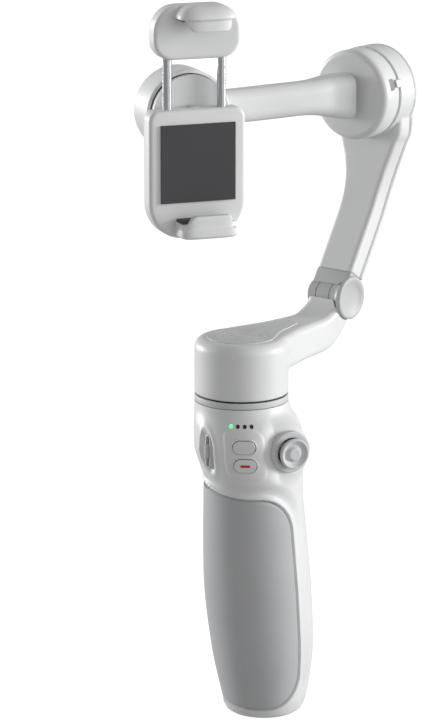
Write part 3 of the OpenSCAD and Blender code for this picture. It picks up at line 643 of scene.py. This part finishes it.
def joystick():
    """Flared collar, and a cap with a dished ring round a low boss."""
    collar = ([(5.6, -9.0), (6.9, -9.0), (6.9, -1.5), (8.2, -1.5)] + arc(7.6, 0.15, 0.6, 0, 90, 6)
              + [(6.9, 0.75)] + arc(6.0, 0.5, 0.3, 90, 180, 4))
    collar = lathe("joystick_collar_ring", collar, at_stick())
    finish(collar, LIGHT_GREY, "handle", "light_grey", "joystick_collar")
    cap = ([(0, 0.4), (1.9, 0.4), (2.2, 2.3), (5.3, 2.3)] + arc(5.35, 2.95, 0.65, -90, 0, 5)
           + arc(5.4, 3.5, 0.6, 0, 100, 6) + [(4.7, 3.6), (4.1, 3.0), (3.4, 2.8), (2.9, 3.05)]
           + arc(2.0, 3.35, 0.6, 20, 90, 4) + [(1.2, 3.95), (0, 3.85)])
    cap = lathe("joystick_cap_dished", cap, at_stick())
    stem = lathe("stem", [(0, -11), (2.4, -10), (3, -8), (2.4, -6), (1.8, -5), (1.8, 1.2), (0, 1.2)],
                 at_stick(), 48)
    cap = joined("joystick_cap_dished", [cap, stem])
    return finish(cap, STICK_GREY, "stick", "mid_grey", "joystick_cap")


def zoom_bezel():
    slot = prism("zoom_slot_bezel", rounded(3.1, 13.5, 1.5, 8), -3.2, -0.75, 0.25,
                 on_skin(ZOOM_ANGLE, ZOOM_Z))
    hole = prism("hole", rounded(1.9, 12.2, 0.9, 8), -6, 3, 0, on_skin(ZOOM_ANGLE, ZOOM_Z))
    carve(slot, [hole], 40)
    return finish(slot, LIGHT_GREY, "handle", "light_grey", "zoom_bezel")


def zoom_slider():
    rail = prism("zoom_slider_key", rounded(1.4, 5.4, 0.65, 8), -3.6, 0.5, 0.3, on_skin(ZOOM_ANGLE, ZOOM_Z))
    return finish(rail, MID_GREY, "zoom_key", "mid_grey", "zoom_slider")


def trigger():
    """A pill-shaped lever with a finger dish."""
    at = on_skin(TRIGGER_ANGLE, TRIGGER_Z)
    body = prism("trigger_lever", rounded(10, 18.4, 4.9, 10), -3, 2.1, 1.0, at, 4)
    ball = [(0, -12)] + arc(0, 0, 12, -80, 0, 12) + arc(0, 0, 12, 10, 90, 12)
    dish = lathe("dish", ball, at @ Matrix.Translation((0, -2 * MM, 13.3 * MM)), 64)
    carve(body, [dish], 40)
    return finish(body, LIGHT_GREY, "trigger_key", "light_grey", "trigger")


def power_button():
    profile = ([(0, -0.9), (3.4, -0.9), (3.4, 1.7)] + arc(2.9, 1.7, 0.5, 0, 90, 4)
               + [(2.2, 2.1), (1.8, 1.9), (0, 1.85)])
    obj = lathe("power_button_cap", profile, on_skin(SIDE_ANGLE, POWER_Z), 64)
    return finish(obj, LIGHT_GREY, "power_key", "light_grey", "power_button")


# ---------------------------------------------------------------- pan motor and lower arm

def pan_collar():
    """Collar on the rod's plug, and a dark ring in the gap above it, which is painted shade for the shadow in
    that gap.
    """
    low, high, r = 123.2, 125.6, 18.0
    profile = ([(0, COLLAR_PLUG_Z), (3.0, COLLAR_PLUG_Z), (3.0, low), (r - 0.1, low)]
               + arc(r, low + 0.3, 0.3, -90, 0, 3) + arc(r, high - 0.3, 0.3, 0, 90, 3)
               + [(10, high), (10, 127.0), (0, 127.0)])
    obj = lathe("pan_collar_ring", profile, AT_PAN)
    finish(obj, LIGHT_GREY, "rod_top", "mid_grey", "pan_collar")
    # Painted shade: a dark ring set in the gap between the collar and the pan housing stands in for the
    # shadow inside it.
    gap_shade = [(16.2, high - 0.2), (17.75, high - 0.2), (17.75, high + 0.42), (16.2, high + 0.42)]
    finish(lathe("pan_gap_shade_ring", gap_shade, AT_PAN), DARK, "rod_top", "mid_grey")


def strap(name, inner, outer, half_widths, corner, count=70):
    """Lofts round-cornered sections between two side-view curves of the arm, with a half width at each
    inner point."""
    a = smooth_curve([(*p, w) for p, w in zip(inner, half_widths)], count)
    b = smooth_curve(outer, count)
    rings = []
    for p, q in zip(a, b):
        thick = math.hypot(q[0] - p[0], q[1] - p[1])
        r = min(corner, thick / 2 * 0.98)
        ring = []
        for y, t in rounded(2 * p[2], thick, r, 5):
            f = t / thick + 0.5
            ring.append(((p[0] + (q[0] - p[0]) * f) * MM, y * MM, (p[1] + (q[1] - p[1]) * f) * MM))
        rings.append(ring)
    return place(loft(name, rings), AT_ARM)


def hinge_cutter(gap, flare):
    """Room for the hinge's barrel and its flared cap."""
    r = BARREL_R + gap
    return lathe("c", [(0, -12), (r, -12), (r, 4.4), (flare, 8.4), (flare, 14), (0, 14)], AT_HINGE, 96)


def pan_housing():
    """Pan motor's drum, with the lower arm that sweeps up to the hinge."""
    low, high, edge = PAN_LOW, PAN_HIGH, 4.0
    rim = arc(MOTOR_R - edge, high - edge, edge, 0, 90, 8)
    drum = lathe("drum", [(0, low), (MOTOR_R, low)] + rim + [(0, high)], AT_PAN)
    half = ARM_T / 2
    top = [(0, high), (12, high), (24, high - 0.05), (36, high - 0.05), (43, high + 0.1), (47.6, high + 1.6),
           lean(-6.0, -half), lean(-3, -half), lean(0, -half)]
    bottom = [(0, high - 13.6), (14, high - 13.6), (28, high - 13.5), (40, high - 13.4), (47, high - 12.6),
              (52.4, high - 9.8), lean(-9.0, half), lean(-5.5, half - 1.2), lean(-1, half - 1.4)]
    widths = [17.2, 14.2, 10.9, 9.0] + [ARM_W / 2] * 5
    obj = joined("pan_housing_shell", [drum, strap("arm", top, bottom, widths, 2.6)])
    melt(obj, 0.42 * MM, 7)
    core = lathe("c", [(0, low - 1), (15.4, low - 1), (15.4, 135.7), (0, 135.7)], AT_PAN, 96)
    carve(obj, [hinge_cutter(0.28, 8.95), core], 40)
    return finish(obj, WHITE, "pan_arm", "white_shell", "pan_housing")


def pan_inlay():
    """Teardrop inlay on the pan motor, with faint rings."""
    z = PAN_HIGH
    right = arc(-0.3, 0, 13.3, 180, 62, 22)
    side = [(9.6, 9.9), (13.5, 8.1), (18, 6.6), (23, 5.7), (27.5, 4.6)]
    nose = arc(28.6, 0, 4.2, 78, 0, 7)
    half = right + side + nose
    outline = half + [(x, -y) for x, y in half[-2:0:-1]]
    obj = prism("pan_inlay_plate", outline, z - 1.2, z + 0.28, 0.22, AT_ARM)
    rings = []
    for r in (4.0, 7.4, 10.6):
        groove = [(r - 0.28, z + 0.3), (r - 0.12, z + 0.14), (r + 0.12, z + 0.14), (r + 0.28, z + 0.3),
                  (r + 0.28, z + 1), (r - 0.28, z + 1)]
        rings.append(lathe("groove", groove, AT_PAN, 96))
    carve(obj, rings, 40)
    return finish(obj, INLAY, "pan_arm", "light_grey", "pan_inlay")


# ---------------------------------------------------------------- fold hinge

def hinge_shoulder():
    """Grey foot of the upper arm, cut round to turn over the fixed knuckles."""
    half, top = ARM_T / 2, SHOULDER - 0.15
    inner = [lean(s, -half + 0.1) for s in (0.5, 3, 6, top)]
    outer = [lean(4.6, 0.4), lean(5.8, 1.4), lean(7.2, 2.4), lean(top, half - COVER_T)]
    obj = strap("shoulder", inner, outer, [8.4] * 4, 0.8, 24)
    return carve(obj, [hinge_cutter(0.12, 8.8)], 40)


def sleeve(name, low, high):
    """A grey sleeve round the hinge pin with softened rims."""
    bore, edge = 2.06, 0.15
    profile = [(bore, low), (BARREL_R - edge, low), (BARREL_R, low + edge), (BARREL_R, high - edge),
               (BARREL_R - edge, high), (bore, high)]
    return lathe(name, profile, AT_HINGE)


def hinge():
    """Fixed rear knuckle, the barrel that turns with the upper arm, and the fixed flared cap."""
    half = ARM_W / 2
    low, high, gap = -half + 4, half - 6.5, 0.12
    rear = sleeve("hinge_knuckle_sleeve", -half, low - gap)
    finish(rear, MID_GREY, "pan_arm", "mid_grey", "hinge_knuckle")
    turning = joined("hinge_barrel_sleeve", [sleeve("sleeve", low + gap, high - gap), hinge_shoulder()])
    finish(turning, MID_GREY, "tilt_arm", "mid_grey", "hinge_barrel")
    neck = [(BARREL_R - 0.15, high + gap), (BARREL_R, high + gap + 0.15), (BARREL_R, half - 4.2)]
    flare = [(BARREL_R + (CAP_R - BARREL_R) * (1 - math.cos(t)), half - 4.2 + 3.6 * math.sin(t))
             for t in np.linspace(0.2, math.pi / 2, 8)]
    rim = arc(CAP_R - 0.8, half + 0.4, 0.8, 0, 90, 6)
    dish = [(6.6, half + 1.15), (5.9, half + 0.75), (4.6, half + 0.45), (0, half + 0.35)]
    cap = lathe("hinge_cap_flared", [(0, high + gap)] + neck + flare + rim + dish, AT_HINGE)
    return finish(cap, MID_GREY, "pan_arm", "mid_grey", "hinge_cap")


# ---------------------------------------------------------------- upper arm and tilt motor

BEND_C = lean(STRAIGHT, -ARM_T / 2 - BEND_R)
# From the foot up, at the points of arm_line
ARM_HALF_WIDTHS = [8.5, 8.5, 8.5, 8.6, 8.9, 9.8, 11.4, 13.6, 15.8, 15.0]


def arm_line(across):
    """Side-view curve of the upper arm at a distance in mm from its inner face, bottom to top."""
    start = lean(SHOULDER, across - ARM_T / 2)
    low = lean(STRAIGHT * 0.6, across - ARM_T / 2)
    bend = [(BEND_C[0] + (BEND_R + across) * math.cos(a), BEND_C[1] + (BEND_R + across) * math.sin(a))
            for a in np.linspace(-ARM_LEAN, 0, 7)]
    top = (BEND_C[0] + BEND_R + across, TILT_Z + 9)
    return [start, low] + bend + [top]


def upper_arm():
    """Inner layer of the arm, with the tilt motor's drum."""
    thick = ARM_T - COVER_T - 0.06
    body = strap("body", arm_line(0), arm_line(thick), ARM_HALF_WIDTHS, 1.6)
    deep = thick + 2
    drum = lathe("drum", [(0, 0), (MOTOR_R, 0), (MOTOR_R, deep), (0, deep)], at_tilt(SEAM_X))
    obj = joined("upper_arm_body", [body, drum])
    melt(obj, 0.42 * MM, 5)
    cavity = lathe("c", [(0, -3), (CORE_ROOM, -3), (CORE_ROOM, 7.7), (0, 7.7)], at_tilt(SEAM_X), 96)
    carve(obj, [hinge_cutter(0.4, 9.1), cavity], 40)
    return finish(obj, WHITE, "tilt_arm", "white_shell", "upper_arm")


def arm_cover():
    """Outer layer of the arm, with the tilt motor's round end."""
    low, high, edge = ARM_T - COVER_T + 0.06, ARM_T, 1.4
    body = strap("body", arm_line(low), arm_line(high), ARM_HALF_WIDTHS, 1.0)
    rim = arc(MOTOR_R - edge, high - edge, edge, 0, 90, 6)
    drum = lathe("drum", [(0, low), (MOTOR_R, low)] + rim + [(0, high)], at_tilt(SEAM_X + 2))
    obj = joined("arm_cover_shell", [body, drum])
    melt(obj, 0.35 * MM, 3)
    carve(obj, [hinge_cutter(0.4, 9.1)], 40)
    return finish(obj, WHITE, "tilt_arm", "white_shell", "arm_cover")


def tilt_rotor():
    """Inner half of the tilt motor, notched at the storage stop."""
    base, r, edge = SEAM_X - 10, 17.9, 2.4
    profile = [(0, 0)] + arc(r - edge, edge, edge, -90, 0, 6) + [(r, 9.2), (r - 0.3, 9.6), (0, 9.6)]
    obj = lathe("tilt_rotor_drum", profile, at_tilt(base))
    notch = prism("c", rounded(4, 4.6, 0.6), 4.0, 6.6, 0, at_stop(base, 17.6, 0))
    shaft = lathe("c", [(0, 3.6), (4.02, 3.6), (4.02, 12), (0, 12)], at_tilt(base), 48)
    carve(obj, [notch, shaft], 40)
    return finish(obj, WHITE, "cross_link", "white_shell", "tilt_rotor")


def tilt_stop():
    obj = prism("tilt_stop_nub", rounded(0.95, 3.2, 0.4, 5), -2.2, 2.2, 0.3, at_stop(SEAM_X - 2.8, 18.5, 2.2))
    return finish(obj, WHITE, "tilt_arm", "white_shell", "tilt_stop")


# ---------------------------------------------------------------- cross arm and roll motor

def cross_arm():
    """Roll motor's drum and the bent arm that carries it."""
    start = AT_ARM @ Vector((67.2 * MM, 0, TILT_Z * MM))
    knee = Vector((PAN.x + 38 * MM, PAN.y + 30 * MM, (TILT_Z + 1) * MM))
    end = AT_ROLL @ Vector((9 * MM, (ROLL_FRONT + 8) * MM, 0))
    path = smooth_curve([tuple(start), tuple((start + knee) / 2 + Vector((1, 1, 0)) * MM), tuple(knee),
                         tuple((end + knee) / 2), tuple(end)], 40)
    last = len(path) - 1
    rings = []
    for i, p in enumerate(path):
        ahead = Vector(path[min(i + 1, last)]) - Vector(path[max(i - 1, 0)])
        side = Vector((-ahead.y, ahead.x, 0)).normalized()
        taper = float(step(i / last, 0.0, 0.35))
        outline = rounded(15 - 3.6 * taper, 18 - 4.5 * taper, 4.6, 6)
        rings.append([Vector(p) + side * (x * MM) + Vector((0, 0, y * MM)) for x, y in outline])
    at, edge = at_roll(ROLL_FRONT), 2
    rim = arc(ROLL_R - edge, ROLL_DEPTH - edge, edge, 0, 90, 6)
    drum = lathe("drum", [(0, 0), (ROLL_R, 0)] + rim + [(0, ROLL_DEPTH)], at)
    obj = joined("cross_arm_shell", [loft("bar", rings), drum])
    melt(obj, 0.5 * MM, 8)
    core = lathe("c", [(0, -2), (CORE_ROOM, -2), (CORE_ROOM, 8.5), (0, 8.5)], at, 96)
    recess = lathe("c", [(0, 16), (12.6, 16), (12.6, 20), (0, 20)], at, 96)
    carve(obj, [core, recess], 40)
    return finish(obj, WHITE, "cross_link", "white_shell", "cross_arm")


def roll_cover():
    """Disc on the back of the roll motor, with a thin ring groove."""
    profile = ([(0, 0), (12.45, 0), (12.45, 0.75)] + arc(12.2, 0.75, 0.25, 0, 90, 3)
               + [(8, 1.0), (7.7, 0.8), (7.4, 1.0), (0, 1.0)])
    obj = lathe("roll_cover_disc", profile, at_roll(ROLL_FRONT + ROLL_DEPTH - 1))
    return finish(obj, LIGHT_GREY, "cross_link", "light_grey", "roll_cover")


# ---------------------------------------------------------------- clamp

def round_plate(half, low, high, low_r, high_r, low_steps, high_steps):
    """Front-view outline with its own corner radii at the bottom and at the top."""
    return (arc(high_r - half, high - high_r, high_r, 180, 90, high_steps)
            + arc(half - high_r, high - high_r, high_r, 90, 0, high_steps)
            + arc(half - low_r, low + low_r, low_r, 0, -90, low_steps)
            + arc(low_r - half, low + low_r, low_r, -90, -180, low_steps))


def clamp_body():
    """Back plate with the bores for the jaw's rods, and the hub on the roll motor."""
    outline = round_plate(CLAMP_W / 2, -JAW_Z - 8.2, 3.4, 14, 4, 12, 6)
    obj = prism("clamp_body_shell", outline, 0, CLAMP_D, 1.6, clamp_xz(BACK_Y + CLAMP_D), 5)
    bore = [(0, -42), (3.4, -42), (3.4, 0.5), (1.95, 0.5), (1.95, 8), (0, 8)]
    carve(obj, [lathe("c", bore, at_clamp(x, ROD_Y, 0), 48) for x in (-ROD_X, ROD_X)], 40)
    hub = lathe("hub", [(0, 0), (15.4, 0), (15.4, 2.0), (15.0, 2.39), (0, 2.39)],
                at_roll(BACK_Y + CLAMP_D - 0.2))
    obj = joined("clamp_body_shell", [obj, hub])
    return finish(obj, WHITE, "clamp", "white_shell", "clamp_body")


def shelf_edge(x, inset, power):
    """Depth of a shelf's front edge at a place across the jaw, in mm."""
    c = min(1, abs(x - JAW_SHIFT) / (JAW_HALF - inset)) ** (1 / power)
    return (FRONT_Y + inset) * (1 - c * c) ** (power / 2)


def visor(name, levels, power):
    """A jaw's shelf: D-shaped in plan, lofted through (inset, height) levels in mm."""
    rings = []
    for inset, z in levels:
        half = JAW_HALF - inset
        ring = [(JAW_SHIFT - half, BACK_Y + 0.4), (JAW_SHIFT + half, BACK_Y + 0.4)]
        for t in np.linspace(0, math.pi, 41):
            x = JAW_SHIFT + half * math.copysign(abs(math.cos(t)) ** power, math.cos(t))
            ring.append((x, (FRONT_Y + inset) * math.sin(t) ** power))
        rings.append([(x * MM, y * MM, z * MM) for x, y in ring])
    return loft(name, rings)


def lip(name, levels, power):
    """A jaw's lip, recessed under its shelf's edge; levels are (height, left, right) in mm."""
    back = 1 - PHONE_T / 2 - 0.02
    rings = []
    for z, left, right in levels:
        front = [(x, min(shelf_edge(x, 0.8, power), back - 0.6)) for x in np.linspace(left, right, 29)]
        ring = front + [(right, back), (left, back)]
        rings.append([(x * MM, y * MM, z * MM) for x, y in ring])
    return loft(name, rings)


def upper_jaw():
    """Head plate on the rods, domed visor and the lip under it."""
    low, high = 22.5, JAW_Z + 5.2
    outline = round_plate(HEAD_W / 2, low, high, 7.5, 10, 8, 10)
    head = prism("head", outline, 0.45, CLAMP_D, 1.4, clamp_xz(BACK_Y + CLAMP_D), 4)
    dome = [(2.4, 1.1), (0.7, 0.45), (0.15, 0.5), (0, 0.85), (0.1, 1.5), (0.5, 2.4), (1.3, 3.4), (2.5, 4.3),
            (4.2, 5.1), (6.3, 5.6), (8.6, 5.8)]
    cap = visor("cap", dome, 0.75)
    under = [(1.8, -8.8, 10.5), (0.6, -8.2, 10.5), (-1.0, -7.2, 10.4), (-2.2, -6.4, 10.2), (-3.0, -5.9, 9.9),
             (-3.5, -5.4, 9.4), (-3.8, -4.9, 8.8), (-3.9, -4.4, 8.2)]
    jaw = joined("jaw", [cap, lip("lip", under, 0.75)])
    place(jaw, at_clamp(0, 0, JAW_Z))
    obj = joined("upper_jaw_shell", [head, jaw])
    melt(obj, 0.28 * MM, 3)
    bore = [(0, 0), (1.82, 0), (1.82, 9), (0, 9)]
    carve(obj, [lathe("c", bore, at_clamp(x, ROD_Y, low - 1), 32) for x in (-ROD_X, ROD_X)], 40)
    return finish(obj, WHITE, "jaw", "white_shell", "upper_jaw")


def lower_jaw():
    """Shelf, deck under the pad and the lip over the phone's edge."""
    levels = [(1.2, -2.75), (0.4, -2.9), (0, -3.4), (0, -5.6), (0.35, -6.2), (1.2, -6.65)]
    shelf = visor("shelf", levels, 0.45)
    deck = prism("deck", rounded(22.4, BACK_Y + 3.4, 2), -3.5, -1, 0.3,
                 Matrix.Translation((JAW_SHIFT * MM, 1.0 * MM, 0)))
    over = [(-4, -9.0, 10.5), (-2.6, -8.5, 10.5), (-0.8, -7.3, 10.4), (0.9, -6.2, 10.1), (1.6, -5.7, 9.8),
            (2.0, -5.2, 9.3), (2.2, -4.6, 8.7)]
    jaw = joined("lower_jaw_shell", [shelf, deck, lip("lip", over, 0.45)])
    place(jaw, at_clamp(0, 0, -JAW_Z))
    melt(jaw, 0.28 * MM, 3)
    return finish(jaw, WHITE, "clamp", "white_shell", "lower_jaw")


# ---------------------------------------------------------------- stage, light and camera

VIEW_AZIMUTH, VIEW_ELEVATION = 20.0, 14.0
VIEW_DISTANCE = 1.25
LENS = 161.5
AIM_RIGHT, AIM_UP = -11.8, 138.5         # from the foot of the pan axis, in the view


def sun(name, azimuth, elevation, strength, spread):
    """Parallel soft light from an azimuth (degrees from the camera's side, positive to its right)."""
    light = bpy.data.lights.new(name, "SUN")
    light.energy = strength
    light.angle = math.radians(spread)
    obj = bpy.data.objects.new(name, light)
    bpy.context.scene.collection.objects.link(obj)
    a = math.radians(-90 - VIEW_AZIMUTH + azimuth)
    e = math.radians(elevation)
    towards = Vector((math.cos(a) * math.cos(e), math.sin(a) * math.cos(e), math.sin(e)))
    obj.rotation_euler = towards.to_track_quat("Z", "Y").to_euler()


def camera():
    data = bpy.data.cameras.new("camera")
    data.lens = LENS
    data.sensor_width = 36
    data.clip_start = 0.05
    obj = bpy.data.objects.new("camera", data)
    bpy.context.scene.collection.objects.link(obj)
    a, e = math.radians(VIEW_AZIMUTH), math.radians(VIEW_ELEVATION)
    forward = Vector((math.sin(a) * math.cos(e), math.cos(a) * math.cos(e), -math.sin(e)))
    right = Vector((math.cos(a), -math.sin(a), 0))
    aim = Vector((PAN.x, PAN.y, AIM_UP * MM)) + right * (AIM_RIGHT * MM)
    obj.location = aim - forward * VIEW_DISTANCE
    obj.rotation_euler = (-forward).to_track_quat("Z", "Y").to_euler()
    bpy.context.scene.camera = obj


def world():
    """White behind the object, dimmer as the light that falls on it."""
    w = bpy.data.worlds.new("studio")
    w.use_nodes = True
    bpy.context.scene.world = w
    tree = w.node_tree
    soft = tree.nodes["Background"]
    soft.inputs["Color"].default_value = (1, 1, 1, 1)
    soft.inputs["Strength"].default_value = 0.34
    clear = tree.nodes.new("ShaderNodeBackground")
    clear.inputs["Strength"].default_value = 1.0
    path = tree.nodes.new("ShaderNodeLightPath")
    mix = tree.nodes.new("ShaderNodeMixShader")
    tree.links.new(path.outputs["Is Camera Ray"], mix.inputs["Fac"])
    tree.links.new(soft.outputs["Background"], mix.inputs[1])
    tree.links.new(clear.outputs["Background"], mix.inputs[2])
    tree.links.new(mix.outputs["Shader"], tree.nodes["World Output"].inputs["Surface"])


def floor():
    """Pale round floor that throws no light up at the object."""
    n, radius, z = 96, 2.5, -0.5 * MM
    turn = [2 * math.pi * k / n for k in range(n)]
    rim = [(radius * math.cos(a), radius * math.sin(a), z) for a in turn]
    obj = mesh_object("floor", rim, [tuple(range(n))])
    mat = moulded("pale_floor", (0.5, 0.5, 0.5), 0.9, grain=0.05)
    shader = mat.node_tree.nodes["Principled BSDF"]
    shader.inputs["Emission Color"].default_value = (1, 1, 1, 1)
    shader.inputs["Emission Strength"].default_value = 0.85
    obj.data.materials.append(mat)
    obj.visible_diffuse = False
    obj.visible_glossy = False


def stage():
    world()
    floor()
    sun("key_from_right", 90, 8, 2.8, 30)
    sun("rim_from_left", -120, 5, 2.6, 20)
    sun("soft_front", 35, 10, 0.42, 50)
    bpy.context.scene.view_settings.view_transform = "Standard"


# ---------------------------------------------------------------- build

dress_nodes()
handle_shell()
grip_panel()
control_panel()
pill_button("mode_button_cap", MODE_Z, "mode_key", "mode_button")
pill_button("record_button_cap", RECORD_Z, "record_key", "record_button")
record_mark()
joystick()
zoom_bezel()
zoom_slider()
trigger()
power_button()
pan_collar()
pan_housing()
pan_inlay()
hinge()
upper_arm()
arm_cover()
tilt_rotor()
tilt_stop()
cross_arm()
roll_cover()
clamp_body()
upper_jaw()
lower_jaw()
stage()
camera()
